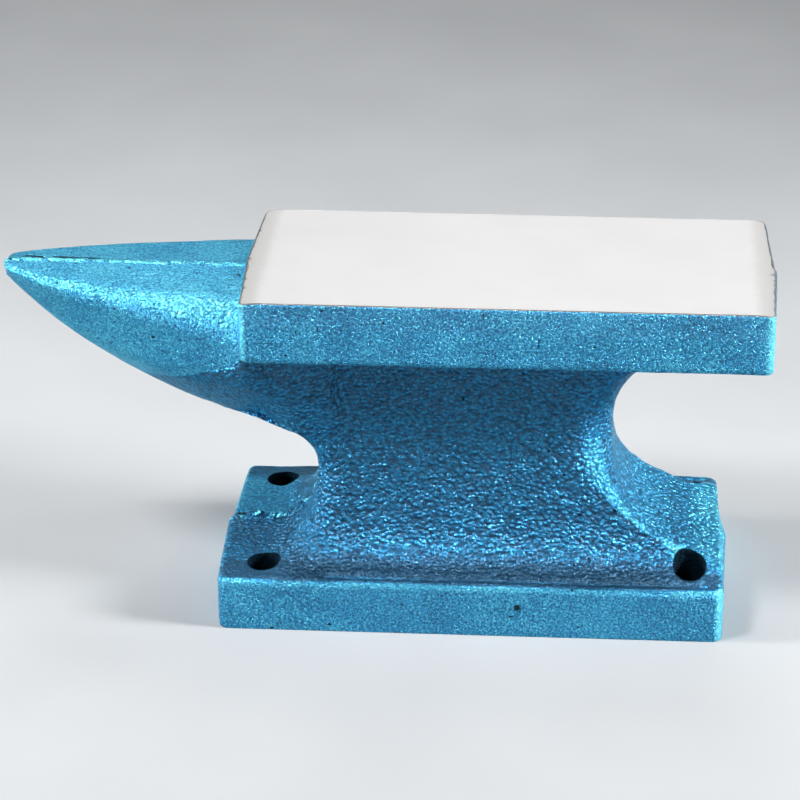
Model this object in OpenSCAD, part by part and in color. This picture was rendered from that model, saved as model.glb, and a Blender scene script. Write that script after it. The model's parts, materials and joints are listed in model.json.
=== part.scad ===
// Bench anvil: a cast-iron body with a horn, a hardened steel face plate on top of it,
// and headed studs hidden inside that hold the plate to the casting.
// Origin: centre of the base's bolt pattern, on the underside.
// -X points along the horn, +X along the heel, +Z is up. All sizes are in millimetres.

/* [Base] */
// Length of the base at its corners
base_length = 152.1; // [151:0.1:156]
// Distance from the bolt pattern's centre to the middle of the base, towards the heel
base_shift = -1.55; // [-2:0.05:2]
// Width of the base
base_width = 74.3; // [72:0.1:80]
// Height of the flat feet
base_height = 18; // [17:0.1:21]
// How far each end bulges at mid-width, from the mould's draft
base_end_bulge = 1.2; // [0.5:0.1:2]

/* [Bolt holes] */
// Hole diameter, a clearance hole for an M8 bolt
hole_diameter = 9.5; // [8.4:0.1:11]
// Distance between holes along the anvil
hole_spacing_x = 129.5; // [126:0.5:132]
// Distance between holes across the anvil
hole_spacing_y = 53; // [50:0.5:55]

/* [Table and face] */
// Length of the face at its corners
face_length = 155; // [150:0.5:158]
// Distance from the bolt pattern's centre to the middle of the face, towards the heel
face_shift = 8.9; // [6:0.1:10]
// Width of the face
face_width = 69.9; // [66:0.1:74]
// Height of the face above the bench
face_height = 108.2; // [106:0.1:114]
// Thickness of the overhanging table, with its plate
table_thickness = 19.3; // [16:0.1:22]
// Thickness of the steel face plate
plate_thickness = 8; // [6:0.5:9]
// How far each end of the face bulges at mid-width
face_end_bulge = 1.6; // [0.5:0.1:2]

/* [Waist] */
// Width of the waist at its narrowest
neck_width = 40; // [36:0.5:44]
// Height of the narrowest place on the heel side
neck_height = 54; // [50:0.5:58]
// Distance from the bolt pattern's centre to the neck on the heel side
neck_heel_x = 40.4; // [38:0.1:43]
// Distance from the bolt pattern's centre to the neck on the horn side
neck_horn_x = -48.6; // [-52:0.1:-46]
// Power of the curved flares: 2 is a quarter ellipse, and less is straighter
flare_power = 1.55; // [1.4:0.05:2]

/* [Horn] */
// Distance from the face's horn end to the horn's tip
horn_length = 75.3; // [70:0.1:80]
// Depth of the horn's top below the face
horn_drop = 2.9; // [2:0.1:4]
// Half of the horn's width where it meets the table
horn_root_half = 31; // [27:0.5:33]
// Power of the horn's width along its length: 1 is a straight cone, and less is blunter
horn_width_power = 0.62; // [0.5:0.02:0.8]
// Radius of the rounded nose
nose_radius = 5; // [3:0.5:6]

/* [Anchor studs] */
// Diameter of a stud's shank
stud_diameter = 8; // [6:0.5:9]
// Diameter of a stud's head
stud_head_diameter = 13; // [11:0.5:14]
// Distance between studs along the anvil
stud_spacing_x = 60; // [50:1:64]
// Distance between studs across the anvil
stud_spacing_y = 26; // [20:1:28]

/* [Hidden] */

CAST_BLUE = [0.13, 0.52, 0.72];
GROUND_STEEL = [0.86, 0.86, 0.85];
STUD_STEEL = [0.55, 0.55, 0.56];

// Heights
seat_z = face_height - plate_thickness;
table_z = face_height - table_thickness;
horn_top_z = face_height - horn_drop;

// Edge rounding
base_edge_radius = 2;
base_corner_radius = 3;
table_edge_radius = 1.5;
table_corner_radius = 2;
plate_end_radius = 2.5;
plate_side_radius = 0.8;
arc_steps = 6;

// Waist flares
foot_horn_reach = 14;
foot_horn_fade = 7.5;
keel_horn_reach = 10;
keel_start = 45;
keel_end = 59;
side_flare_gain = 44;
side_flare_floor = 14.5;
side_flare_trim = 0.6;
throat_side_reach = 6.5;
heel_slope = 1.75;
heel_bend_z = 36.8;
heel_bend_soft = 4.5;
toe_slope = 0.9;
toe_bend_z = 26;
toe_bend_soft = 2;
heel_hollow_depth = 2.4;
heel_hollow_z = 28.5;
heel_hollow_spread = 7;
throat_start = 60.3;
throat_radius = 26;
base_margin = 1;
horn_corner = 9;
heel_corner_foot = 3;
heel_corner_gain = 12;
heel_corner_low_z = 32;
heel_corner_high_z = 56;
waist_start_z = 16.8;
waist_end_z = seat_z - 2;
waist_rings = 30;
waist_ring_power = 1.4;
ring_corner_steps = 6;
ring_quarter_steps = 7;

// Horn profile: keel height at a distance from the tip is a + b * s + c * s * s
horn_tip_x = face_shift - face_length / 2 - horn_length;
nose_z = 102;
keel_a = 99.2;
keel_b = -0.935;
keel_c = 0.00453;
horn_inner_x = neck_horn_x - 1;
horn_inner_inset = 4;
horn_inner_length = 19;
horn_rings = 18;
horn_ring_power = 1.8;
horn_first_ring = 0.15;
horn_crown_power = 2.6;
horn_shoulder_share = 0.42;
keel_power_tip = 1.5;
keel_power_gain = 0.6;
keel_power_reach = 20;
horn_side_share = 0.05;

// Anchor studs
stud_plate_depth = 5;
stud_body_depth = 15;
stud_head_height = 4;

// Overlap that carries a cut or a join past the faces it meets
slack = 1;
// Height of a bolt hole's cut above the feet, to clear the waist's sloping foot
hole_headroom = 20;
round_steps = 64;

// ---- Outlines ----

// Points of an arc that rounds the corner p between a and b with radius r
function corner_arc(a, p, b, r) =
    let (
        u = (a - p) / norm(a - p),
        v = (b - p) / norm(b - p),
        half_angle = acos(u * v) / 2,
        centre = p + (u + v) / norm(u + v) * r / sin(half_angle),
        start = p + u * r / tan(half_angle) - centre,
        finish = p + v * r / tan(half_angle) - centre
    )
    [for (i = [0:arc_steps])
        let (w = start * sin(90 * (1 - i / arc_steps)) + finish * sin(90 * i / arc_steps))
        centre + w / norm(w) * r];

// Closed outline with a radius at each point; a radius of 0 keeps the point
function rounded_outline(points, radii) =
    let (n = len(points))
    [for (i = [0:n - 1])
        each radii[i] == 0
            ? [points[i]]
            : corner_arc(points[(i + n - 1) % n], points[i], points[(i + 1) % n], radii[i])];

// Plan of the base or the table: a rectangle whose ends bulge at mid-width
function bulged_plan(length, width, bulge, r) =
    rounded_outline(
        [
            [length / 2, -width / 2], [length / 2 + bulge, 0], [length / 2, width / 2],
            [-length / 2, width / 2], [-length / 2 - bulge, 0], [-length / 2, -width / 2]
        ],
        [r, 0, r, r, 0, r]
    );

// Upright rectangle from z0 to z1 with rounded lower and upper corners
function upright(width, z0, z1, lower_r, upper_r) =
    rounded_outline(
        [[-width / 2, z0], [width / 2, z0], [width / 2, z1], [-width / 2, z1]],
        [lower_r, lower_r, upper_r, upper_r]
    );

// Block with a given plan whose edges are rounded in both elevations
module block(plan, side_view, end_view, z0, z1) {
    reach = 400;
    intersection() {
        translate([0, 0, z0]) linear_extrude(z1 - z0) polygon(plan);
        rotate([90, 0, 0])
            translate([0, 0, -reach / 2]) linear_extrude(reach) polygon(side_view);
        rotate([90, 0, 90])
            translate([0, 0, -reach / 2]) linear_extrude(reach) polygon(end_view);
    }
}

// ---- Lofts ----

// Closed skin over a list of rings with equal numbers of points
module loft(rings) {
    n = len(rings[0]);
    last = len(rings) - 1;
    points = [for (ring = rings) each ring];
    sides = [for (k = [0:last - 1], i = [0:n - 1])
        let (j = (i + 1) % n)
        each [
            [k * n + i, (k + 1) * n + i, (k + 1) * n + j],
            [k * n + i, (k + 1) * n + j, k * n + j]
        ]];
    first_cap = [for (i = [0:n - 1]) i];
    last_cap = [for (i = [n - 1:-1:0]) last * n + i];
    polyhedron(points, concat(sides, [first_cap, last_cap]), convexity = 6);
}

// Quarter of a superellipse, from angle 0 at [a, 0] to 90 at [0, b]
function super_point(angle, a, b, power) =
    [a * pow(cos(angle), 2 / power), b * pow(sin(angle), 2 / power)];

// Curve that rises from 0 to 1 as t goes from 0 to 1, flat first and steep last
function flare(t) =
    let (c = min(max(t, 0), 1)) 1 - pow(1 - pow(c, flare_power), 1 / flare_power);

// ---- Waist ----

// 0 before t = 0 and t after it, with a soft bend between
function knee(t, soft) = soft * ln(1 + exp(t / soft));

// Sides flare towards the base as a hyperbola
function waist_half_width(z) =
    min(
        neck_width / 2 + side_flare_gain / (z - side_flare_floor) - side_flare_trim
        + throat_side_reach * flare((z - neck_height) / (table_z + slack - neck_height)),
        base_width / 2 - base_margin
    );

function throat_rise(z) =
    let (arc = min(max(z - throat_start, 0), throat_radius - slack / 2))
    throat_radius - sqrt(throat_radius * throat_radius - arc * arc);

function waist_heel_x(z) =
    min(
        neck_heel_x
        + heel_slope * knee(heel_bend_z - z, heel_bend_soft)
        + toe_slope * knee(toe_bend_z - z, toe_bend_soft)
        - heel_hollow_depth * exp(-pow((z - heel_hollow_z) / heel_hollow_spread, 2))
        + throat_rise(z),
        base_shift + base_length / 2 - base_margin / 2
    );

function waist_horn_x(z) =
    neck_horn_x
    - foot_horn_reach * exp((base_height - z) / foot_horn_fade)
    - keel_horn_reach * flare((z - keel_start) / (keel_end - keel_start));

// Radius of the waist's upright corners on the heel side, growing towards the neck
function heel_corner(z) =
    let (share = (z - heel_corner_low_z) / (heel_corner_high_z - heel_corner_low_z))
    heel_corner_foot + heel_corner_gain * min(max(share, 0), 1);

// Quarter circle of radius r around centre, starting at an angle
function quarter_turn(centre, r, start, z) =
    [for (i = [0:ring_corner_steps])
        let (angle = start + 90 * i / ring_corner_steps)
        [centre.x + r * cos(angle), centre.y + r * sin(angle), z]];

function waist_ring(z) =
    let (
        half = waist_half_width(z),
        heel_r = heel_corner(z),
        horn_r = horn_corner,
        heel = waist_heel_x(z) - heel_r,
        horn = waist_horn_x(z) + horn_r
    )
    concat(
        quarter_turn([heel, half - heel_r], heel_r, 0, z),
        quarter_turn([horn, half - horn_r], horn_r, 90, z),
        quarter_turn([horn, horn_r - half], horn_r, 180, z),
        quarter_turn([heel, heel_r - half], heel_r, 270, z)
    );

module waist() {
    loft([for (k = [0:waist_rings])
        waist_ring(waist_start_z + (waist_end_z - waist_start_z) * pow(k / waist_rings, waist_ring_power))]);
}

// ---- Horn ----

function nose_blend(s) = sqrt(1 - pow(1 - min(s, nose_radius) / nose_radius, 2));
function horn_keel_z(s) = nose_z + (keel_a + keel_b * s + keel_c * s * s - nose_z) * nose_blend(s);
function horn_crown_z(s) = nose_z + (horn_top_z - nose_z) * nose_blend(s);
function horn_half_width(s) =
    s < horn_length
        ? horn_root_half * pow(s / horn_length, horn_width_power)
        : horn_root_half
            - (horn_root_half - neck_width / 2 - horn_inner_inset)
            * (s - horn_length) / horn_inner_length;

// Height where the side of the horn turns under towards the keel
function horn_side_edge_z(s) =
    let (shoulder = horn_crown_z(s) - horn_shoulder_share * horn_half_width(s) * nose_blend(s))
    shoulder - horn_side_share * (shoulder - horn_keel_z(s));

function horn_ring(s) =
    let (
        crown = horn_crown_z(s),
        w = horn_half_width(s),
        shoulder = crown - horn_shoulder_share * w * nose_blend(s),
        side_edge = horn_side_edge_z(s),
        keel = horn_keel_z(s),
        n = ring_quarter_steps,
        keel_power = keel_power_tip
            + keel_power_gain * pow(s / (horn_length + keel_power_reach), 2),
        upper = [for (i = [0:n])
            super_point(90 * i / n, w, crown - shoulder, horn_crown_power)],
        lower = [for (i = [0:n]) super_point(90 * i / n, w, side_edge - keel, keel_power)],
        x = horn_tip_x + s
    )
    concat(
        [for (i = [0:n]) [x, upper[i].x, shoulder + upper[i].y]],
        [for (i = [n - 1:-1:0]) [x, -upper[i].x, shoulder + upper[i].y]],
        [for (i = [0:n]) [x, -lower[i].x, side_edge - lower[i].y]],
        [for (i = [n - 1:-1:0]) [x, lower[i].x, side_edge - lower[i].y]]
    );

module horn() {
    span = horn_inner_x - horn_tip_x - horn_first_ring;
    loft([for (k = [0:horn_rings])
        horn_ring(horn_first_ring + span * pow(k / horn_rings, horn_ring_power))]);
}

// ---- Table and face plate ----

module table_block(z0, z1, lower_r, upper_r_ends, upper_r_sides) {
    full = face_length + 2 * face_end_bulge;
    translate([face_shift, 0, 0])
        block(
            bulged_plan(face_length, face_width, face_end_bulge, table_corner_radius),
            upright(full, z0, z1, lower_r, upper_r_ends),
            upright(face_width, z0, z1, lower_r, upper_r_sides),
            z0, z1
        );
}

module plate_room() {
    translate([face_shift, 0, seat_z])
        linear_extrude(plate_thickness + slack)
            polygon(bulged_plan(face_length, face_width, face_end_bulge, table_corner_radius));
}

// ---- Anchor studs ----

module at_studs() {
    for (x = [-1, 1], y = [-1, 1])
        translate([x * stud_spacing_x / 2, y * stud_spacing_y / 2, 0]) children();
}

module studs() {
    at_studs() {
        translate([0, 0, seat_z - stud_body_depth])
            cylinder(d = stud_diameter, h = stud_body_depth + stud_plate_depth, $fn = round_steps);
        translate([0, 0, seat_z - stud_body_depth])
            cylinder(d = stud_head_diameter, h = stud_head_height, $fn = round_steps);
    }
}

// ---- Base ----

module base_block() {
    translate([base_shift, 0, 0])
        block(
            bulged_plan(base_length, base_width, base_end_bulge, base_corner_radius),
            upright(base_length + 2 * base_end_bulge, 0, base_height, 0, base_edge_radius),
            upright(base_width, 0, base_height, 0, base_edge_radius),
            0, base_height
        );
}

module base_holes() {
    for (x = [-1, 1], y = [-1, 1])
        translate([x * hole_spacing_x / 2, y * hole_spacing_y / 2, -slack])
            cylinder(d = hole_diameter, h = base_height + hole_headroom, $fn = round_steps);
}

// ---- Nodes ----

module anvil_body() {
    color(CAST_BLUE) difference() {
        union() {
            base_block();
            waist();
            horn();
            table_block(table_z, seat_z, table_edge_radius, 0, 0);
        }
        plate_room();
        base_holes();
        studs();
    }
}

module face_plate() {
    color(GROUND_STEEL) difference() {
        table_block(seat_z, face_height, 0, plate_end_radius, plate_side_radius);
        studs();
    }
}

module anchor_studs() {
    color(STUD_STEEL) studs();
}

anvil_body();
face_plate();
anchor_studs();
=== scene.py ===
"""A bench anvil: painted sand casting, ground steel face plate and hidden anchor studs.

The casting is a blend of rounded solids, written as signed distances in millimetres in the
CAD frame, skinned with a grid, and roughened. -X is the horn, +X the heel and +Z is up.
"""

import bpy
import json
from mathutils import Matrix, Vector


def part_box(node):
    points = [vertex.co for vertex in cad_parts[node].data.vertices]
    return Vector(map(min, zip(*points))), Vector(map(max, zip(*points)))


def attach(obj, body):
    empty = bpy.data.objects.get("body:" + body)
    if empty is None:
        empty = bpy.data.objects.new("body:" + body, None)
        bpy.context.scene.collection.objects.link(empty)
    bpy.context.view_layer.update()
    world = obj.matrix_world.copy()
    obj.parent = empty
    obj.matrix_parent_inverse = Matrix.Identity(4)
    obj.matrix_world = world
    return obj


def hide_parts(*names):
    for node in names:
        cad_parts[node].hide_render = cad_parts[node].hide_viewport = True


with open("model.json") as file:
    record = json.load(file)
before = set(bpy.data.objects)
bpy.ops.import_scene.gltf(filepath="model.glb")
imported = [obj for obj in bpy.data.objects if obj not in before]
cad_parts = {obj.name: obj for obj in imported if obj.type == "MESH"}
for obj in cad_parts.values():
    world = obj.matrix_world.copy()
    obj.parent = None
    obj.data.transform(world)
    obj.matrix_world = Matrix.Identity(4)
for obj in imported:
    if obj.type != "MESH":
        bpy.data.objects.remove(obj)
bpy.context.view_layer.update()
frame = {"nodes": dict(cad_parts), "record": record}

import itertools
import json
import math

import bmesh
import bpy
import numpy as np
from mathutils import Matrix, Vector

MM = 0.001
CASTING_PITCH = 0.75
PLATE_PITCH = 0.6

# ---- Sizes, in millimetres, driven by the frame ----


def box_mm(node):
    low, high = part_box(node)
    return np.array(low) / MM, np.array(high) / MM


BODY_LOW, BODY_HIGH = box_mm("anvil_body")
PLATE_LOW, PLATE_HIGH = box_mm("face_plate")
MOUNTS = {mount["name"]: mount for mount in frame["record"]["mounts"]}
BOLTS = MOUNTS["base_bolts"]["dims"]

# Face and table
FACE_BULGE = 1.6
FACE_EDGE = 0.6
FACE_Z = PLATE_HIGH[2]
SEAT_Z = PLATE_LOW[2]
FACE_HALF = PLATE_HIGH[1]
FACE_HORN_X = PLATE_LOW[0] + FACE_BULGE
FACE_HEEL_X = PLATE_HIGH[0] - FACE_BULGE
FACE_BACK_SHORT = 0.6
ROLL_REACH = 6.0
ROLL_DROP = 0.75
TABLE_Z = FACE_Z - 19.3
TABLE_DRAFT = 0.03
TABLE_CORNER = 2.2
TABLE_EDGE = 1.2

# Base
BASE_HALF = BODY_HIGH[1]
BASE_HORN_X = -78.0
BASE_HEEL_X = 74.9
BASE_BULGES = (0.7, 1.5)
BASE_CORNER = 3.0
BASE_TOP_EDGE = 1.9
BASE_SOLE_EDGE = 0.25
BACK_HORN_SHORT = 0.8
BACK_HEEL_SHORT = 1.7
BACK_HEEL_REACH = 25.0
FOOT_Z = 18.6
FOOT_DRAFT = 0.035
FOOT_SINK = 0.6
FOOT_SINK_X = (20.0, 60.0)

# Crease behind the lip of the base
CREASE_Y = 34.1
CREASE_SINK = 0.5
CREASE_RADIUS = 1.2
CREASE_MIDDLE_X = 13.0
CREASE_HALF_LENGTH = 58.0

# Bolt holes
HOLE_RADIUS = BOLTS["hole_r_mm"]
HOLE_X = BOLTS["spacing_x_mm"] / 2
HOLE_Y = BOLTS["spacing_y_mm"] / 2
HOLE_END_Z = 45.0
DISH_Z = 21.3
DISH_SLOPE = 0.46
DISH_RISE = 1.2
DISH_STEEPNESS = 1.6
DISH_TOP_Z = 34.0

# Waist
NECK_HALF = 20.0
NECK_Z = 54.0
NECK_HEEL_X = 40.4
NECK_HORN_X = -48.6
WAIST_LOW_Z = 16.8
SPREAD = 44.0
SPREAD_Z = 14.5
SPREAD_OFFSET = 0.6
SIDE_FLARE = 6.5
FLARE_POWER = 1.55
HEEL_BENDS = ((1.75, 36.8, 4.5), (0.9, 26.0, 2.0))
HEEL_HOLLOW = 2.4
HEEL_HOLLOW_Z = 28.5
HEEL_HOLLOW_SPREAD = 7.0
THROAT_RADIUS = 26.0
THROAT_ARC_Z = 60.3
HORN_FOOT_REACH = 13.0
HORN_FOOT_FADE = 7.5
HORN_FLARE = 10.0
HORN_FLARE_Z = 45.0
HORN_FLARE_HEIGHT = 14.0
HEEL_CORNER = 3.0
HEEL_CORNER_GAIN = 12.0
HEEL_CORNER_Z = (32.0, 56.0)
HORN_CORNER = 9.0

# Horn
TIP_X = BODY_LOW[0]
HORN_TOP_Z = 105.3
HORN_LENGTH = FACE_HORN_X - TIP_X
HORN_ROOT_HALF = 31.0
HORN_ROOT_TAPER = 0.35
HORN_BLUNTNESS = 2.2
HORN_PLAN_POWER = 0.62
HORN_CROWN = 0.085
HORN_SHOULDER = 0.35
HORN_SHOULDER_ROUND = 0.36
HORN_LEAN = 0.85
HORN_LEAN_FADE = 45.0
HORN_LEAN_END = 16.0
HORN_TIP_ROUND = 2.6
HORN_END_X = -46.0
KEEL_Z, KEEL_FALL, KEEL_CURVE = 99.2, 0.935, 0.00453
KEEL_SOFTNESS = 5.0
KEEL_ROUND = 1.2
KEEL_ROUND_GAIN = 2.6
KEEL_ROUND_S = (45.0, 70.0)

# Fillets
HORN_FILLET = 9.0
TABLE_FILLET = 2.0
FOOT_FILLET = 1.2


# ---- Rounded joins of distances ----


def cut_round(a, b, r):
    """Intersection of two solids whose shared edge is rounded to radius r."""
    u, v = np.maximum(a + r, 0.0), np.maximum(b + r, 0.0)
    return np.minimum(-r, np.maximum(a, b)) + np.hypot(u, v)


def join_round(a, b, r):
    """Union of two solids with a fillet of radius r where they meet."""
    u, v = np.maximum(r - a, 0.0), np.maximum(r - b, 0.0)
    return np.maximum(r, np.minimum(a, b)) - np.hypot(u, v)


def rising(value, start, end):
    """0 up to the start and 1 from the end, with a straight ramp between."""
    return np.clip((value - start) / (end - start), 0.0, 1.0)


def flare(t):
    c = np.clip(t, 0.0, 1.0)
    return 1.0 - (1.0 - c**FLARE_POWER) ** (1.0 / FLARE_POWER)


def knee(t, soft):
    """0 before t = 0 and t after it, with a soft bend between."""
    return soft * np.logaddexp(0.0, t / soft)


def back_half(y):
    """0 in the front half of the mould and 1 in the back half."""
    return 0.5 + 0.5 * np.tanh(y / 0.5)


# ---- Distances to each part of the anvil ----


def bulged_block(x, y, half, horn_x, heel_x, bulges, corner):
    """Upright prism with bulging ends and rounded corners, unlimited in height."""
    inward = 1.0 - np.abs(y) / half
    side = np.abs(y) - half
    heel = x - heel_x - bulges[1] * inward
    horn = horn_x - bulges[0] * inward - x
    return cut_round(cut_round(side, heel, corner), horn, corner)


def base_distance(x, y, z):
    horn_x = BASE_HORN_X + BACK_HORN_SHORT * back_half(y)
    heel_x = BASE_HEEL_X - BACK_HEEL_SHORT * rising(y, 0.0, BACK_HEEL_REACH)
    plan = bulged_block(x, y, BASE_HALF, horn_x, heel_x, BASE_BULGES, BASE_CORNER)
    top = z - FOOT_Z + FOOT_DRAFT * np.abs(y) + FOOT_SINK * rising(x, *FOOT_SINK_X)
    return cut_round(cut_round(plan, top, BASE_TOP_EDGE), -z, BASE_SOLE_EDGE)


def table_plan(x, y):
    heel_x = FACE_HEEL_X - FACE_BACK_SHORT * back_half(y)
    bulges = (FACE_BULGE, FACE_BULGE)
    return bulged_block(x, y, FACE_HALF, FACE_HORN_X, heel_x, bulges, TABLE_CORNER)


def table_distance(x, y, z):
    underside = TABLE_Z - TABLE_DRAFT * (FACE_HALF - np.abs(y)) - z
    return np.maximum(cut_round(table_plan(x, y), underside, TABLE_EDGE), z - FACE_Z + 4.0)


def plate_distance(x, y, z):
    """The plate, with both ends of the face rolled down, reaching below its seat."""
    heel_roll = np.clip((x - FACE_HEEL_X + ROLL_REACH) / ROLL_REACH, 0.0, 1.3)
    horn_roll = np.clip((FACE_HORN_X + ROLL_REACH - x) / ROLL_REACH, 0.0, 1.3)
    top = z - FACE_Z + ROLL_DROP * (heel_roll**2 + horn_roll**2)
    solid = cut_round(table_plan(x, y), top, FACE_EDGE)
    return np.maximum(solid, SEAT_Z - 2.0 - z)


def waist_half(z):
    """Half width of the waist, which spreads to the foot and flares to the table."""
    low = SPREAD / (np.maximum(z, WAIST_LOW_Z) - SPREAD_Z) - SPREAD_OFFSET
    high = SIDE_FLARE * flare((z - NECK_Z) / (TABLE_Z + 1.0 - NECK_Z))
    return np.minimum(NECK_HALF + low + high, BASE_HALF - 1.0)


def waist_heel(z):
    """Heel end of the waist: a slope up from the foot, and the throat's arc above it."""
    low = sum(slope * knee(bend_z - z, soft) for slope, bend_z, soft in HEEL_BENDS)
    low = low - HEEL_HOLLOW * np.exp(-(((z - HEEL_HOLLOW_Z) / HEEL_HOLLOW_SPREAD) ** 2))
    arc = np.clip(z - THROAT_ARC_Z, 0.0, THROAT_RADIUS - 0.5)
    high = THROAT_RADIUS - np.sqrt(THROAT_RADIUS**2 - arc**2)
    return np.minimum(NECK_HEEL_X + low + high, BASE_HEEL_X - 0.6)


def waist_horn(z):
    """Horn end of the waist, which spreads to the foot and flares under the horn."""
    low = HORN_FOOT_REACH * np.exp((FOOT_Z - np.maximum(z, WAIST_LOW_Z)) / HORN_FOOT_FADE)
    high = HORN_FLARE * flare((z - HORN_FLARE_Z) / HORN_FLARE_HEIGHT)
    return NECK_HORN_X - low - high


def waist_plan(x, y, z):
    half, heel, horn = waist_half(z), waist_heel(z), waist_horn(z)
    heel_corner = HEEL_CORNER + HEEL_CORNER_GAIN * rising(z, *HEEL_CORNER_Z)
    corner = np.where(x > 0.0, heel_corner, HORN_CORNER)
    along = np.abs(x - (heel + horn) / 2) - (heel - horn) / 2 + corner
    across = np.abs(y) - half + corner
    outside = np.hypot(np.maximum(along, 0.0), np.maximum(across, 0.0))
    return outside + np.minimum(np.maximum(along, across), 0.0) - corner


def waist_distance(x, y, z):
    step = 0.4
    rise = (waist_plan(x, y, z + step) - waist_plan(x, y, z - step)) / (2 * step)
    plan = waist_plan(x, y, z) / np.sqrt(1.0 + rise**2)
    return np.maximum(np.maximum(plan, 10.0 - z), z - SEAT_Z + 1.0)


def horn_half(s):
    """Half width of the horn's shoulders at a distance s from its tip."""
    reach = (np.maximum(s, 0.0) + HORN_BLUNTNESS) / (HORN_LENGTH + HORN_BLUNTNESS)
    growing = HORN_ROOT_HALF * reach**HORN_PLAN_POWER
    inside = HORN_ROOT_HALF - HORN_ROOT_TAPER * (s - HORN_LENGTH)
    return np.where(s < HORN_LENGTH, growing, inside)


def horn_lean(s):
    """Inward lean of the horn's sides below its shoulders, as a slope."""
    fade = np.exp(-np.maximum(s, 0.0) / HORN_LEAN_FADE)
    return HORN_LEAN * fade * np.clip((HORN_LENGTH + 4.0 - s) / HORN_LEAN_END, 0.0, 1.0)


def horn_distance(x, y, z):
    s = x - TIP_X
    wide, lean = horn_half(s), horn_lean(s)
    shoulder_z = HORN_TOP_Z - HORN_SHOULDER * wide
    top = z + HORN_CROWN * np.abs(y) - HORN_TOP_Z
    side = (np.abs(y) - wide + lean * (shoulder_z - z)) / np.sqrt(1 + lean**2 + 0.12)
    keel = KEEL_Z - KEEL_FALL * s + KEEL_CURVE * s**2
    keel_slope = 2 * KEEL_CURVE * s - KEEL_FALL
    soft_y = np.sqrt(y**2 + KEEL_SOFTNESS**2) - KEEL_SOFTNESS
    under = (keel - z + soft_y) / np.sqrt(2.0 + keel_slope**2)
    shape = cut_round(top, side, HORN_SHOULDER_ROUND * wide)
    shape = cut_round(shape, under, KEEL_ROUND + KEEL_ROUND_GAIN * rising(s, *KEEL_ROUND_S))
    shape = cut_round(shape, -s, HORN_TIP_ROUND)
    return np.maximum(shape, x - HORN_END_X)


def hole_distance(x, y):
    return np.hypot(np.abs(x) - HOLE_X, np.abs(y) - HOLE_Y) - HOLE_RADIUS


def dish(x, y, z):
    """Room over each heel bolt hole, where the foot of the waist is dished."""
    inward = HOLE_Y - np.abs(y)
    floor_z = DISH_Z + DISH_SLOPE * inward + DISH_RISE * np.maximum(hole_distance(x, y), 0.0)
    return np.maximum(np.maximum((floor_z - z) / DISH_STEEPNESS, z - DISH_TOP_Z), -x)


def lip_crease(x, y, z):
    """Shallow groove behind the lip of the base, along the waist."""
    across = np.hypot(np.abs(y) - CREASE_Y, z - FOOT_Z + CREASE_SINK) - CREASE_RADIUS
    return np.maximum(across, np.abs(x - CREASE_MIDDLE_X) - CREASE_HALF_LENGTH)


def casting_distance(x, y, z):
    waist = join_round(waist_distance(x, y, z), horn_distance(x, y, z), HORN_FILLET)
    body = join_round(waist, table_distance(x, y, z), TABLE_FILLET)
    body = join_round(body, base_distance(x, y, z), FOOT_FILLET)
    body = cut_round(body, -lip_crease(x, y, z), 0.5)
    body = cut_round(body, -dish(x, y, z), 1.5)
    low_hole = np.maximum(hole_distance(x, y), z - HOLE_END_Z)
    return cut_round(body, -low_hole, 0.35)


# ---- Noise ----


def lattice_noise(points, period, seed):
    """Smooth gradient noise of about -1 to 1 at points, with one cell per period."""
    rng = np.random.default_rng(seed)
    slopes = rng.normal(size=(256, 3))
    slopes /= np.linalg.norm(slopes, axis=1)[:, None]
    order = rng.permutation(256)
    place = points / period + 1000.0
    cell = np.floor(place).astype(np.int64)
    part = place - cell
    ease = part**3 * (part * (part * 6 - 15) + 10)
    total = np.zeros(len(points))
    for corner in itertools.product((0, 1), repeat=3):
        c = (cell + corner) & 255
        slope = slopes[order[(order[(order[c[:, 0]] + c[:, 1]) & 255] + c[:, 2]) & 255]]
        weight = np.prod(np.where(corner, ease, 1 - ease), axis=1)
        total += weight * np.einsum("ij,ij->i", slope, part - corner)
    return total * 1.6


def inside_band(value, low, high, edge):
    """1 between low and high, with a ramp inside each of its ends."""
    rise = np.clip((value - low) / edge, 0, 1)
    fall = np.clip((high - value) / edge, 0, 1)
    return np.minimum(rise, fall)


def seam_flash(points):
    """Height of the broken flash along the mould's parting line, in millimetres."""
    x, y, z = points.T
    across = np.exp(-(((y + 0.3) / 1.1) ** 2))
    on_foot = inside_band(x, -200.0, -40.0, 6.0) * inside_band(z, -1.0, 36.0, 2.0)
    on_foot *= 0.2 + 0.8 * inside_band(x, -77.0, -40.0, 2.0) * inside_band(z, -1.0, 28.0, 6.0)
    on_horn = inside_band(x, -200.0, FACE_HORN_X, 2.0) * inside_band(z, 98.0, 120.0, 2.0)
    on_heel = inside_band(x, 44.0, 200.0, 6.0) * inside_band(z, -1.0, 50.0, 2.0)
    broken = np.clip(0.55 + 1.6 * lattice_noise(points, 2.8, 4), 0.0, 1.0)
    return across * (2.3 * on_foot + 0.4 * on_horn + 0.2 * on_heel) * broken


def casting_relief(points):
    """Height of the cast surface's lumps and flash, in millimetres, with a flat face and sole."""
    x, y, z = points.T
    broad = lattice_noise(points, 22.0, 1) * 0.18
    lumps = lattice_noise(points, 6.5, 2) * 0.10
    pebbles = lattice_noise(points, 2.9, 3) * 0.11
    waist = inside_band(z, 15.0, TABLE_Z + 1.5, 4.0) * inside_band(x, -95.0, 78.0, 12.0)
    kept = rising(z, 0.0, 2.0) * rising(FACE_Z - z, 0.6, 2.1)
    texture = broad + lumps * (0.5 + waist) + pebbles * (0.15 + waist)
    return (texture + seam_flash(points)) * kept


# ---- Skinning ----


def evaluate(points, field):
    return field(points[:, 0], points[:, 1], points[:, 2])


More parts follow.
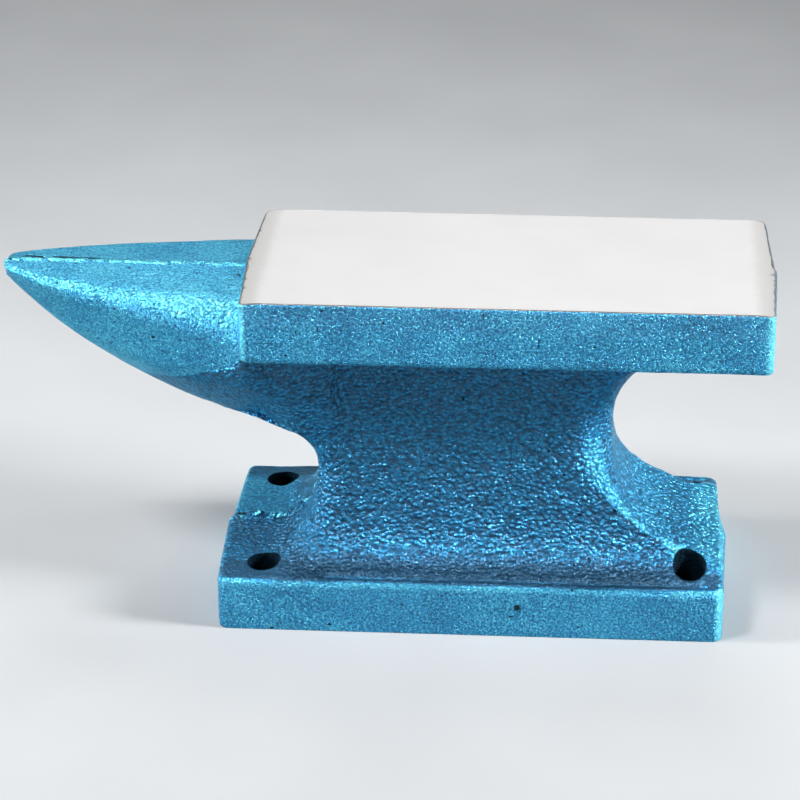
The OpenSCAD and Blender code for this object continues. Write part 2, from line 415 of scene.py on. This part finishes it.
def slope_of(points, field):
    """Gradient of a distance at points."""
    step = 0.05
    slopes = np.empty_like(points)
    for axis in range(3):
        ahead, behind = points.copy(), points.copy()
        ahead[:, axis] += step
        behind[:, axis] -= step
        slopes[:, axis] = (evaluate(ahead, field) - evaluate(behind, field)) / (2 * step)
    return slopes


def grid_axes(low, high, pitch):
    return [np.arange(lo, hi + pitch, pitch) for lo, hi in zip(low, high)]


def skin(field, low, high, pitch):
    """Vertices and quads of the surface where a distance is 0, by surface nets on a grid."""
    axes = grid_axes(low, high, pitch)
    values = field(axes[0][:, None, None], axes[1][None, :, None], axes[2][None, None, :])
    inside = values < 0
    nx, ny, nz = values.shape
    count = np.zeros((nx - 1, ny - 1, nz - 1), np.uint8)
    for i, j, k in itertools.product((0, 1), repeat=3):
        count += inside[i : nx - 1 + i, j : ny - 1 + j, k : nz - 1 + k]
    mixed = (count > 0) & (count < 8)
    number = np.full(mixed.shape, -1, np.int64)
    cells = np.argwhere(mixed)
    number[mixed] = np.arange(len(cells))
    place = np.zeros((len(cells), 3))
    hits = np.zeros(len(cells))
    for axis in range(3):
        for i, j in itertools.product((0, 1), repeat=2):
            start = np.insert([i, j], axis, 0)
            end = np.insert([i, j], axis, 1)
            a = values[tuple((cells + start).T)]
            b = values[tuple((cells + end).T)]
            cross = (a < 0) != (b < 0)
            t = a[cross] / (a[cross] - b[cross])
            place[cross] += cells[cross] + start + t[:, None] * (end - start)
            hits[cross] += 1
    place = place / hits[:, None] * pitch + [axes[0][0], axes[1][0], axes[2][0]]
    quads = []
    for axis in range(3):
        u, v = (axis + 1) % 3, (axis + 2) % 3
        a = inside.take(range(values.shape[axis] - 1), axis)
        b = inside.take(range(1, values.shape[axis]), axis)
        edges = np.argwhere(a != b)
        rising = b[tuple(edges.T)]
        keep = (edges[:, u] > 0) & (edges[:, v] > 0)
        edges, rising = edges[keep], rising[keep]
        ring = []
        for du, dv in ((-1, -1), (0, -1), (0, 0), (-1, 0)):
            cell = edges.copy()
            cell[:, u] += du
            cell[:, v] += dv
            ring.append(number[tuple(cell.T)])
        ring = np.stack(ring, 1)
        ring[rising] = ring[rising][:, ::-1]
        quads.append(ring)
    return place, np.concatenate(quads)


def settle(points, field, rounds=3):
    """Moves points onto the surface where a distance is 0."""
    for _ in range(rounds):
        slope = slope_of(points, field)
        size = np.maximum((slope**2).sum(1), 0.05)
        move = slope * (evaluate(points, field) / size)[:, None]
        points = points - np.clip(move, -0.4, 0.4)
    return points


def cast_skin(name, field, low, high, pitch):
    """Mesh of a distance's surface with the cast relief pushed out of it."""
    points, quads = skin(field, low, high, pitch)
    points = settle(points, field)
    normals = slope_of(points, field)
    normals /= np.maximum(np.linalg.norm(normals, axis=1), 1e-6)[:, None]
    points = points + normals * casting_relief(points)[:, None]
    return mesh_object(name, points, quads)


def mesh_object(name, points, faces):
    """Blender object from points in millimetres and equal-sized faces."""
    mesh = bpy.data.meshes.new(name)
    mesh.from_pydata((points * MM).tolist(), [], faces.tolist())
    mesh.update()
    mesh.validate()
    thing = bpy.data.objects.new(name, mesh)
    bpy.context.scene.collection.objects.link(thing)
    return thing


def shade_smooth(thing):
    """Smooth shading that keeps cut edges sharp."""
    thing.data.polygons.foreach_set("use_smooth", [True] * len(thing.data.polygons))
    thing.data.set_sharp_from_angle(angle=math.radians(50.0))


# ---- Cutting the seat ----


def prism(name, outline, z0, z1):
    """Closed upright prism over an outline given counterclockwise."""
    bm = bmesh.new()
    low = [bm.verts.new((x * MM, y * MM, z0 * MM)) for x, y in outline]
    bottom = bm.faces.new(low[::-1])
    grown = bmesh.ops.extrude_face_region(bm, geom=[bottom])
    top = [v for v in grown["geom"] if isinstance(v, bmesh.types.BMVert)]
    bmesh.ops.translate(bm, verts=top, vec=(0, 0, (z1 - z0) * MM))
    bmesh.ops.recalc_face_normals(bm, faces=bm.faces)
    mesh = bpy.data.meshes.new(name)
    bm.to_mesh(mesh)
    bm.free()
    thing = bpy.data.objects.new(name, mesh)
    bpy.context.scene.collection.objects.link(thing)
    return thing


def subtract(thing, cutter):
    """Cuts the cutter out of the thing, and removes the cutter."""
    cut = thing.modifiers.new("cut", "BOOLEAN")
    cut.operation = "DIFFERENCE"
    cut.solver = "MANIFOLD"
    cut.object = cutter
    made = bpy.data.meshes.new_from_object(
        thing.evaluated_get(bpy.context.evaluated_depsgraph_get())
    )
    thing.modifiers.clear()
    old, thing.data = thing.data, made
    bpy.data.meshes.remove(old)
    bpy.data.objects.remove(cutter)


def plate_room():
    """Space above the seat, from the horn's root to past the heel."""
    gap, far = 0.15, 50.0
    bow = FACE_BULGE * far / FACE_HALF
    horn = FACE_HORN_X - gap
    outline = [
        (horn - FACE_BULGE, 0.0),
        (horn - FACE_BULGE + bow, -far),
        (FACE_HEEL_X + far, -far),
        (FACE_HEEL_X + far, far),
        (horn - FACE_BULGE + bow, far),
    ]
    return prism("plate_room", outline, SEAT_Z, FACE_Z + 20.0)


def below_seat():
    """Everything under the plate's seat."""
    far = 200.0
    outline = [(-far, -far), (far, -far), (far, far), (-far, far)]
    return prism("below_seat", outline, SEAT_Z - 20.0, SEAT_Z)


def stud_room():
    """Copy of the studs, to cut their pockets."""
    studs = frame["nodes"]["anchor_studs"].copy()
    studs.data = studs.data.copy()
    bpy.context.scene.collection.objects.link(studs)
    studs.hide_viewport = False
    return studs


# ---- Materials ----


class Shader:
    """Adds nodes to one material. Masks are 1 inside what they are named after."""

    def __init__(self, name):
        self.material = bpy.data.materials.new(name)
        self.material.use_nodes = True
        self.tree = self.material.node_tree
        self.surface = self.tree.nodes["Principled BSDF"]
        self.place = self.node("ShaderNodeTexCoord").outputs["Object"]
        normal = self.node("ShaderNodeNewGeometry").outputs["Normal"]
        self.x, self.y, self.z = self.split(self.place)
        self.heelward, self.backward, self.upward = self.split(normal)
        self.aside = self.size_of(self.y)

    def node(self, kind, **settings):
        made = self.tree.nodes.new(kind)
        for key, value in settings.items():
            setattr(made, key, value)
        return made

    def feed(self, socket, value):
        if isinstance(value, bpy.types.NodeSocket):
            self.tree.links.new(value, socket)
        else:
            socket.default_value = value

    def split(self, vector):
        made = self.node("ShaderNodeSeparateXYZ")
        self.feed(made.inputs[0], vector)
        return made.outputs[0], made.outputs[1], made.outputs[2]

    def math(self, operation, a, b=0.0, c=0.0):
        made = self.node("ShaderNodeMath", operation=operation)
        for socket, value in zip(made.inputs, (a, b, c)):
            self.feed(socket, value)
        return made.outputs[0]

    def times(self, first, *others):
        for other in others:
            first = self.math("MULTIPLY", first, other)
        return first

    def most(self, first, *others):
        for other in others:
            first = self.math("MAXIMUM", first, other)
        return first

    def plus(self, value, share, change):
        """The value with a share of the change added."""
        return self.math("MULTIPLY_ADD", share, change, value)

    def size_of(self, value):
        return self.math("ABSOLUTE", value)

    def from_point(self, value, place_mm):
        return self.math("SUBTRACT", value, place_mm * MM)

    def length(self, a, b):
        return self.math("SQRT", self.math("MULTIPLY_ADD", a, a, self.times(b, b)))

    def step(self, value, low, high):
        """Smooth step from 0 at low to 1 at high."""
        made = self.node("ShaderNodeMapRange", interpolation_type="SMOOTHSTEP")
        self.feed(made.inputs["Value"], value)
        made.inputs["From Min"].default_value = low
        made.inputs["From Max"].default_value = high
        return made.outputs[0]

    def step_mm(self, length, low, high):
        return self.step(length, low * MM, high * MM)

    def stretch(self, factors):
        made = self.node("ShaderNodeMapping")
        self.feed(made.inputs["Vector"], self.place)
        made.inputs["Scale"].default_value = factors
        return made.outputs[0]

    def noise(self, period_mm, detail=2.0, rough=0.5, warp=0.0, place=None):
        made = self.node("ShaderNodeTexNoise")
        self.feed(made.inputs["Vector"], place or self.place)
        made.inputs["Scale"].default_value = 1.0 / (period_mm * MM)
        made.inputs["Detail"].default_value = detail
        made.inputs["Roughness"].default_value = rough
        made.inputs["Distortion"].default_value = warp
        return made.outputs["Fac"]

    def lumps(self, size_mm, place):
        """Height of close-packed rounded lumps, 1 at their middles."""
        made = self.node("ShaderNodeTexVoronoi", feature="SMOOTH_F1")
        self.feed(made.inputs["Vector"], place)
        made.inputs["Scale"].default_value = 1.0 / (size_mm * MM)
        made.inputs["Smoothness"].default_value = 0.35
        return self.math("SUBTRACT", 1.0, made.outputs["Distance"])

    def ramp(self, value, stops):
        made = self.node("ShaderNodeValToRGB")
        elements = made.color_ramp.elements
        while len(elements) < len(stops):
            elements.new(0.5)
        for element, (where, colour) in zip(elements, stops):
            element.position = where
            element.color = (*colour, 1.0)
        self.feed(made.inputs["Fac"], value)
        return made.outputs["Color"]

    def mix(self, share, a, b):
        """Blend of two colours."""
        made = self.node("ShaderNodeMix", data_type="RGBA")
        self.feed(made.inputs["Factor"], share)
        for socket, value in zip((made.inputs[6], made.inputs[7]), (a, b)):
            self.feed(socket, (*value, 1.0) if isinstance(value, tuple) else value)
        return made.outputs[2]

    def blend(self, share, a, b):
        """Blend of two numbers."""
        made = self.node("ShaderNodeMix", data_type="FLOAT")
        self.feed(made.inputs["Factor"], share)
        self.feed(made.inputs[2], a)
        self.feed(made.inputs[3], b)
        return made.outputs[0]

    def relief(self, height):
        """Bumps the surface and its coat by a height."""
        made = self.node("ShaderNodeBump")
        made.inputs["Distance"].default_value = RELIEF_MM * MM
        self.feed(made.inputs["Height"], height)
        self.feed(self.surface.inputs["Normal"], made.outputs["Normal"])
        self.feed(self.surface.inputs["Coat Normal"], made.outputs["Normal"])


PAINT_METAL = 0.75
PAINT_COAT = 0.15
COAT_ROUGHNESS = 0.22
PAINT_EDGE_TINT = (0.35, 0.70, 0.85, 1.0)
PAINT_STOPS = [
    (0.38, (0.030, 0.105, 0.195)),
    (0.50, (0.026, 0.255, 0.50)),
    (0.66, (0.15, 0.65, 0.80)),
]
# Near-black for pits, cracks and the chip, and for painted shade in the bolt holes and along the
# foot strips.
PIT_AND_SHADE_COLOUR = (0.004, 0.016, 0.03)
STEEL_STOPS = [(0.3, (0.85, 0.84, 0.84)), (0.7, (0.89, 0.88, 0.88))]
ROLLED_STEEL = (0.74, 0.73, 0.71)
WORN_EDGE = (0.20, 0.19, 0.18)
STUD_STOPS = [(0.3, (0.30, 0.29, 0.28)), (0.7, (0.46, 0.45, 0.44))]
RELIEF_MM = 0.8

# Sizes of the paint's textures, in millimetres
GRAIN = 0.7
FINE_GRAIN = 0.35
PEBBLE = 1.2
WRINKLE = 1.1
STREAK = 1.6
CLOUD = 16.0
PIT_SPACING = 1.6

# Limits of the paint's zones, in millimetres: a mask is 0 at the first value and 1 at the second.
HORN_X = (-68.0, -72.0)
HORN_TOP_LIMITS = (99.0, 102.0)
ROUGH_Z = (15.0, 20.0)
UPPER_WAIST_Z = (56.0, 84.0)
LOW_DOWN_Z = (24.0, 20.0)
HEEL_SLOPE_X = (38.0, 48.0)
HEEL_SLOPE_Z = (60.0, 50.0)
HEEL_FOOT_X = (62.0, 69.0)
HEEL_FOOT_TOP_Z = (30.0, 24.0)
HEEL_FOOT_LOW_Z = (16.4, 17.4)
HEEL_EDGE_X = (30.0, 34.0)
HEEL_EDGE_FOOT_Z = (19.0, 23.0)
HEEL_EDGE_TOP_Z = (66.0, 54.0)
HORN_FOOT_X = (-44.0, -47.0)
HORN_FOOT_Z = (38.0, 32.0)
FOOT_FRONT_X = (-50.0, -56.0)
FOOT_FRONT_Z = (16.4, 17.2)
FRONT_HALF_Y = (1.0, -1.0)
BACK_HALF_Y = (1.0, 4.0)
BACK_FOOT_Z = (22.0, 19.0)
STRIP_Y = (24.5, 31.5)
STRIP_TOP_Z = (31.0, 21.0)
STRIP_LOW_Z = (16.8, 17.6)
STRIP_MIDDLE_X = (62.0, 52.0)
LIP_Y = (35.2, 36.2)
LIP_Z = (14.8, 16.2)
SIDE_EDGE_Y = (32.4, 33.2)
FRONT_FACE_Y = (-36.0, -36.8)
TIP_CRACK_X = (-112.0, -118.0)
TIP_CRACK_Z = (101.0, 103.0)
FOOT_CRACK_Z = (17.0, 19.0)
UNDERCUT_SLOPE = 0.48
UNDERCUT_DROP = 2.2
CHIP_X, CHIP_Z = 13.0, 10.0


# ---- Zones of the paint, many of them lightened or darkened as painted light and shade ----


def on_horn(s):
    return s.step_mm(s.x, *HORN_X)


def low_down(s):
    return s.step_mm(s.z, *LOW_DOWN_Z)


def rough_zone(s):
    """The waist and the underside of the horn, up to the crease along the horn's side."""
    past_table = s.math("MINIMUM", s.from_point(s.x, FACE_HORN_X), 0.0)
    height = s.plus(s.z, past_table, -UNDERCUT_SLOPE)
    height = s.plus(height, on_horn(s), UNDERCUT_DROP * MM)
    return s.times(s.step_mm(s.z, *ROUGH_Z), s.step_mm(height, TABLE_Z + 0.3, TABLE_Z - 1.0))


def horn_top(s):
    return s.times(s.step_mm(s.z, *HORN_TOP_LIMITS), on_horn(s))


# Painted light: the horn's sides above the crease, lightened in the tone list.
def horn_side_painted_light(s):
    return s.times(on_horn(s), s.math("SUBTRACT", 1.0, rough_zone(s)))


def horn_shoulder(s):
    """The rounded edges between the horn's top and its sides, coarser in relief and lightened in
    the tone list as a painted highlight.
    """
    tilted = s.times(s.step(s.upward, 0.3, 0.5), s.step(s.upward, 0.985, 0.93))
    return s.times(tilted, on_horn(s), 0.9)


def coarse_zone(s):
    return s.most(rough_zone(s), horn_shoulder(s))


# Painted light: paint on faces that point down is made a little lighter in the tone list.
def down_facing_painted_light(s):
    return s.step(s.upward, 0.0, -0.55)


# Painted shade: the upper waist under the table's overhang, darkened in the tone list.
def under_table_painted_shade(s):
    return s.times(rough_zone(s), s.step_mm(s.z, *UPPER_WAIST_Z))


def heel_slope_painted_light(s):
    """The slope from the throat down to the foot, lightened in the tone list as painted light where
    it faces the heel.
    """
    facing_heel = s.step(s.heelward, 0.15, 0.55)
    return s.times(s.step_mm(s.x, *HEEL_SLOPE_X), facing_heel, s.step_mm(s.z, *HEEL_SLOPE_Z))


def heel_foot_painted_light(s):
    """Top of the base at its heel end, lightened in the tone list as painted light."""
    top = s.times(s.step_mm(s.z, *HEEL_FOOT_TOP_Z), s.step_mm(s.z, *HEEL_FOOT_LOW_Z))
    return s.times(s.step_mm(s.x, *HEEL_FOOT_X), top)


def heel_corner(s):
    """The upright corners between the waist's sides and its heel end, where the tone list paints a
    highlight.
    """
    turned = s.times(s.step(s.heelward, 0.20, 0.38), s.step(s.heelward, 0.85, 0.65))
    sideways = s.step(s.size_of(s.backward), 0.30, 0.50)
    heights = s.times(s.step_mm(s.z, *HEEL_EDGE_FOOT_Z), s.step_mm(s.z, *HEEL_EDGE_TOP_Z))
    return s.times(turned, sideways, heights, s.step_mm(s.x, *HEEL_EDGE_X))


def horn_foot(s):
    """Horn end of the base and of the waist above it."""
    return s.times(s.step_mm(s.x, *HORN_FOOT_X), s.step_mm(s.z, *HORN_FOOT_Z))


def horn_foot_front_painted_shade(s):
    """Front half of the base's top at its horn end, darkened in the tone list as painted shade."""
    front = s.times(s.step_mm(s.y, *FRONT_HALF_Y), s.step_mm(s.x, *FOOT_FRONT_X))
    return s.times(front, s.step_mm(s.z, *FOOT_FRONT_Z), low_down(s))


def back_foot_painted_light(s):
    """Back half of the base, lightened in the tone list as painted light."""
    return s.times(s.step_mm(s.y, *BACK_HALF_Y), s.step_mm(s.z, *BACK_FOOT_Z))


def foot_strip_painted_shade(s):
    """Strips of the foot along the outside of the waist, darkened as painted shade."""
    top = s.times(s.step_mm(s.z, *STRIP_TOP_Z), s.step_mm(s.z, *STRIP_LOW_Z))
    return s.times(s.step_mm(s.aside, *STRIP_Y), top)


# Painted shade: the crease behind the base's lip, darkened in the tone list.
def behind_lip_painted_shade(s):
    off_crease = s.size_of(s.from_point(s.aside, CREASE_Y))
    return s.times(s.step_mm(off_crease, 1.8, 0.2), low_down(s))


def lip_painted_highlight(s):
    """The top edges along both sides of the base, where the tone list paints a highlight."""
    top = s.times(s.step_mm(s.z, *LIP_Z), low_down(s))
    return s.times(s.step_mm(s.aside, *LIP_Y), top)


def corners(s):
    """Upright corners of the table and of the base's heel end, where the tone list paints
    highlights.
    """
    horn_end = s.step_mm(s.x, FACE_HORN_X + 2.2, FACE_HORN_X + 0.8)
    table_horn = s.times(horn_end, s.step_mm(s.z, TABLE_Z - 2.0, TABLE_Z))
    table_heel = s.step_mm(s.x, FACE_HEEL_X - 3.5, FACE_HEEL_X - 1.0)
    base_heel = s.times(s.step_mm(s.x, BASE_HEEL_X - 3.0, BASE_HEEL_X - 1.0), low_down(s))
    return s.times(s.most(table_horn, table_heel, base_heel), s.step_mm(s.aside, *SIDE_EDGE_Y))


# ---- Marks in the paint, with painted shade in the holes and a painted highlight on the flash ----


def off_seam(s, shift_mm):
    """Distance from a line beside the mould's parting line, which wanders by a millimetre."""
    wander = s.math("MULTIPLY_ADD", s.noise(9.0), 2.0 * MM, -1.0 * MM)
    return s.size_of(s.from_point(s.math("ADD", s.y, wander), shift_mm))


def seam_cracks(s):
    """Broken cracks behind the parting line, at the horn's tip and on its foot."""
    crack = s.times(s.step_mm(off_seam(s, 1.3), 1.2, 0.6), s.step(s.noise(4.0), 0.43, 0.50))
    tip = s.times(s.step_mm(s.x, *TIP_CRACK_X), s.step_mm(s.z, *TIP_CRACK_Z))
    foot = s.times(horn_foot(s), s.step_mm(s.z, *FOOT_CRACK_Z))
    return s.times(crack, s.most(tip, foot))


def seam_ridge(s):
    """Broken flash along the parting line, on the horn's top and on its foot: raised in the relief,
    and lightened in the tone list as a painted highlight.
    """
    ridge = s.times(s.step_mm(off_seam(s, -0.5), 1.5, 0.7), s.step(s.noise(2.2), 0.42, 0.55))
    return s.times(ridge, s.most(horn_foot(s), s.times(horn_top(s), 0.6)))


def hole_walls_painted_shade(s):
    """The walls of the bolt holes, painted near-black as shade, and left dull and uncoated."""
    x = s.from_point(s.size_of(s.x), HOLE_X)
    y = s.from_point(s.aside, HOLE_Y)
    near = s.step_mm(s.length(x, y), HOLE_RADIUS + 0.6, HOLE_RADIUS + 0.2)
    return s.times(near, s.step_mm(s.z, 30.0, 29.0))


def chip(s):
    """A small chip in the paint of the base's front."""
    away = s.length(s.from_point(s.x, CHIP_X), s.from_point(s.z, CHIP_Z))
    ragged = s.plus(away, s.noise(1.5), 2.4 * MM)
    return s.times(s.step_mm(ragged, 2.5, 2.0), s.step_mm(s.y, *FRONT_FACE_Y))


def dark_marks_and_shade(s):
    """Cracks, painted shade in the bolt holes, pits, the chip and painted shade along the middle of
    the foot.
    """
    pits = s.step(s.noise(PIT_SPACING, 0.0), 0.80, 0.83)
    middle = s.step_mm(s.size_of(s.x), *STRIP_MIDDLE_X)
    shade = s.times(foot_strip_painted_shade(s), middle, 0.45)
    return s.most(seam_cracks(s), hole_walls_painted_shade(s), pits, chip(s), shade)


# ---- Paint and steel ----

# Tone changes by zone. Besides the random grain, most of these are painted light and shade: lighter
# where lamps catch, darker where shade falls.
TONE_CHANGES = (
    (down_facing_painted_light, 0.02),
    # Painted shade: the waist and the horn's underside a little darker, as under the overhangs.
    (rough_zone, -0.03),
    (under_table_painted_shade, -0.04),
    (heel_slope_painted_light, 0.05),
    (heel_foot_painted_light, 0.08),
    (heel_corner, 0.11),
    (horn_side_painted_light, 0.02),
    # Painted light: the horn's top and its shoulders lighter, as lit from above.
    (horn_top, 0.03),
    (horn_shoulder, 0.05),
    (horn_foot_front_painted_shade, -0.05),
    (back_foot_painted_light, 0.05),
    (foot_strip_painted_shade, -0.18),
    (behind_lip_painted_shade, -0.05),
    (lip_painted_highlight, 0.07),
    # Painted highlights on the upright corners and along the flash ridge.
    (corners, 0.14),
    (seam_ridge, 0.22),
)


def paint_grain(s):
    return s.noise(GRAIN, 2.0, 0.6, 0.4)


def paint_pebbles(s):
    return s.lumps(PEBBLE, s.stretch((0.85, 1.0, 1.0)))


def paint_tone(s):
    """Lightness of the paint, from 0 to 1."""
    cloud = s.noise(CLOUD, 3.0)
    # The grain also raises the relief, so its tone is lighter on the bumps and darker in the pits:
    # painted highlight and shade. The broad cloud is random tone.
    speckled = s.plus(s.plus(0.075, paint_grain(s), 0.7), cloud, 0.15)
    even = s.plus(0.325, speckled, 0.35)
    # In the coarse zone the pebbles are darker towards their edges: painted shade in the creases
    # between them.
    hollows = s.plus(-0.16, paint_pebbles(s), 0.25)
    tone = s.blend(rough_zone(s), speckled, s.math("ADD", even, hollows))
    for zone, change in TONE_CHANGES:
        tone = s.plus(tone, zone(s), change)
    return tone


def paint_height(s):
    """Relief: fine grain, streaks along the horn's top, and pebbles in the coarse zone."""
    streaks = s.noise(STREAK, 2.0, 0.6, 0.0, s.stretch((0.12, 1.0, 1.0)))
    smooth = s.blend(s.times(horn_top(s), 0.75), paint_grain(s), streaks)
    wrinkle = s.noise(WRINKLE, 1.5, 0.55, 0.3)
    pebbled = s.plus(s.times(wrinkle, 0.9), paint_pebbles(s), 1.1)
    height = s.blend(coarse_zone(s), s.times(smooth, 0.8), pebbled)
    height = s.plus(height, s.noise(FINE_GRAIN, 1.0), 0.3)
    height = s.math("SUBTRACT", height, seam_cracks(s))
    return s.math("ADD", height, seam_ridge(s))


def paint_gloss(s):
    """Roughness of the paint, dull on the walls of the holes."""
    gloss = s.blend(coarse_zone(s), s.blend(paint_grain(s), 0.38, 0.24), 0.31)
    return s.most(gloss, hole_walls_painted_shade(s))


def paint_colour(s):
    return s.mix(dark_marks_and_shade(s), s.ramp(paint_tone(s), PAINT_STOPS), PIT_AND_SHADE_COLOUR)


def painted_casting():
    s = Shader("painted_casting")
    s.feed(s.surface.inputs["Base Color"], paint_colour(s))
    s.feed(s.surface.inputs["Roughness"], paint_gloss(s))
    s.surface.inputs["Metallic"].default_value = PAINT_METAL
    s.surface.inputs["Specular Tint"].default_value = PAINT_EDGE_TINT
    uncoated = s.most(s.step(s.upward, 0.1, -0.3), hole_walls_painted_shade(s))
    s.feed(s.surface.inputs["Coat Weight"], s.blend(uncoated, PAINT_COAT, 0.0))
    s.surface.inputs["Coat Roughness"].default_value = COAT_ROUGHNESS
    s.relief(paint_height(s))
    return s.material


def rolled_ends(s):
    """Both rolled ends of the face, with a ragged start."""
    middle_x = (FACE_HORN_X + FACE_HEEL_X) / 2
    half_length = FACE_HEEL_X - middle_x
    from_middle = s.size_of(s.from_point(s.x, middle_x))
    ragged = s.plus(from_middle, s.noise(2.5, 3.0, 0.6), 2.5 * MM)
    return s.step_mm(ragged, half_length - 5.5, half_length - 1.5)


def ground_steel():
    """Bare ground steel on top of the plate, a worn edge, and paint on its sides."""
    s = Shader("ground_steel")
    ragged = s.plus(s.upward, s.noise(3.0), 0.12)
    inside_edges = s.step_mm(s.aside, FACE_HALF - 0.35, FACE_HALF - 0.8)
    bare = s.times(s.step(ragged, 0.99, 1.02), inside_edges)
    worn = s.step(ragged, 0.72, 0.80)
    steel = s.ramp(s.noise(30.0, 3.0), STEEL_STOPS)
    steel = s.mix(s.times(rolled_ends(s), 0.8), steel, ROLLED_STEEL)
    sides = s.mix(worn, paint_colour(s), WORN_EDGE)
    s.feed(s.surface.inputs["Base Color"], s.mix(bare, sides, steel))
    s.feed(s.surface.inputs["Metallic"], s.blend(bare, PAINT_METAL, 1.0))
    s.feed(s.surface.inputs["Coat Weight"], s.blend(bare, PAINT_COAT, 0.0))
    s.surface.inputs["Coat Roughness"].default_value = COAT_ROUGHNESS
    lines = s.noise(0.5, 3.0, 0.6, 0.0, s.stretch((0.02, 1.0, 1.0)))
    s.feed(s.surface.inputs["Roughness"], s.blend(bare, paint_gloss(s), s.blend(lines, 0.28, 0.40)))
    s.relief(s.blend(bare, paint_height(s), s.times(lines, 0.01)))
    return s.material


def stud_steel():
    s = Shader("stud_steel")
    scale = s.noise(1.5, 3.0)
    s.feed(s.surface.inputs["Base Color"], s.ramp(scale, STUD_STOPS))
    s.surface.inputs["Metallic"].default_value = 1.0
    s.feed(s.surface.inputs["Roughness"], s.blend(scale, 0.35, 0.55))
    return s.material


# ---- Pieces ----


def finish_piece(thing, material, node):
    shade_smooth(thing)
    thing.data.materials.clear()
    thing.data.materials.append(material)
    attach(thing, "anvil")
    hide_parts(node)


def build_casting():
    low = BODY_LOW - 2.0
    high = np.array([BODY_HIGH[0], BODY_HIGH[1], FACE_Z]) + 2.0
    casting = cast_skin("casting", casting_distance, low, high, CASTING_PITCH)
    subtract(casting, plate_room())
    subtract(casting, stud_room())
    finish_piece(casting, painted_casting(), "anvil_body")


def build_plate():
    low = PLATE_LOW - 4.0
    high = PLATE_HIGH + 2.0
    plate = cast_skin("plate", plate_distance, low, high, PLATE_PITCH)
    subtract(plate, below_seat())
    subtract(plate, stud_room())
    finish_piece(plate, ground_steel(), "face_plate")


def paint_studs():
    studs = frame["nodes"]["anchor_studs"]
    studs.data.materials.clear()
    studs.data.materials.append(stud_steel())


# ---- Stage ----

CAMERA_AZIMUTH = math.radians(2.951)
CAMERA_ELEVATION = math.radians(27.0)
CAMERA_ROLL = math.radians(0.123)
CAMERA_DISTANCE = 874.0
CAMERA_TARGET = Vector((-1.55, 0.0, 60.0))
CAMERA_SENSOR = 36.0
CAMERA_LENS = 128.7
CAMERA_SHIFT = (-0.0946, 0.0046)

FLOOR_HALF = 3.0
FLOOR_STOPS = [(0.3, (0.36, 0.37, 0.38)), (0.7, (0.39, 0.40, 0.41))]
STUDIO_COLOUR = (0.9, 0.95, 1.0, 1.0)
STUDIO_STRENGTH = 0.10
LIGHT_AIM = (0.0, 0.0, 0.06)


def build_camera():
    data = bpy.data.cameras.new("camera")
    data.sensor_width = CAMERA_SENSOR
    data.lens = CAMERA_LENS
    data.shift_x, data.shift_y = CAMERA_SHIFT
    camera = bpy.data.objects.new("camera", data)
    back = Vector((
        math.sin(CAMERA_AZIMUTH) * math.cos(CAMERA_ELEVATION),
        -math.cos(CAMERA_AZIMUTH) * math.cos(CAMERA_ELEVATION),
        math.sin(CAMERA_ELEVATION),
    ))
    side = Vector((0, 0, 1)).cross(back).normalized()
    up = back.cross(side)
    right = side * math.cos(CAMERA_ROLL) + up * math.sin(CAMERA_ROLL)
    over = up * math.cos(CAMERA_ROLL) - side * math.sin(CAMERA_ROLL)
    turn = Matrix((right, over, back)).transposed().to_4x4()
    place = (CAMERA_TARGET + back * CAMERA_DISTANCE) * MM
    camera.matrix_world = Matrix.Translation(place) @ turn
    bpy.context.scene.collection.objects.link(camera)
    bpy.context.scene.camera = camera


def build_floor():
    bm = bmesh.new()
    bmesh.ops.create_grid(bm, x_segments=8, y_segments=8, size=FLOOR_HALF)
    mesh = bpy.data.meshes.new("floor")
    bm.to_mesh(mesh)
    bm.free()
    floor = bpy.data.objects.new("floor", mesh)
    floor.location.z = BODY_LOW[2] * MM
    bpy.context.scene.collection.objects.link(floor)
    s = Shader("floor")
    s.feed(s.surface.inputs["Base Color"], s.ramp(s.noise(90.0), FLOOR_STOPS))
    s.surface.inputs["Roughness"].default_value = 0.8
    s.surface.inputs["Specular IOR Level"].default_value = 0.0
    floor.data.materials.append(s.material)


def soft_light(name, place, size, power, spread=180.0):
    """Rectangular light aimed at the anvil, with its beam's spread in degrees."""
    data = bpy.data.lights.new(name, "AREA")
    data.shape = "RECTANGLE"
    data.size, data.size_y = size
    data.energy = power
    data.spread = math.radians(spread)
    light = bpy.data.objects.new(name, data)
    light.location = place
    aim = Vector(LIGHT_AIM) - Vector(place)
    light.rotation_euler = aim.to_track_quat("-Z", "Y").to_euler()
    bpy.context.scene.collection.objects.link(light)


def build_lights():
    world = bpy.data.worlds.new("studio")
    world.use_nodes = True
    background = world.node_tree.nodes["Background"]
    background.inputs["Color"].default_value = STUDIO_COLOUR
    background.inputs["Strength"].default_value = STUDIO_STRENGTH
    bpy.context.scene.world = world
    bpy.context.scene.view_settings.view_transform = "Standard"
    soft_light("key", (-0.50, -0.32, 1.00), (0.22, 0.22), 9.0)
    soft_light("top", (0.1, 0.6, 1.25), (0.6, 0.5), 6.0)
    soft_light("back", (0.05, 1.5, 0.85), (2.2, 1.0), 5.3)
    soft_light("left", (-1.2, -0.12, 0.45), (0.25, 0.3), 1.55, 50.0)
    soft_light("right", (1.1, -0.15, 0.55), (0.25, 0.3), 2.35, 50.0)
    soft_light("front", (0.3, -1.3, 0.25), (0.6, 0.4), 2.3)


build_camera()
build_floor()
build_lights()
build_casting()
build_plate()
paint_studs()
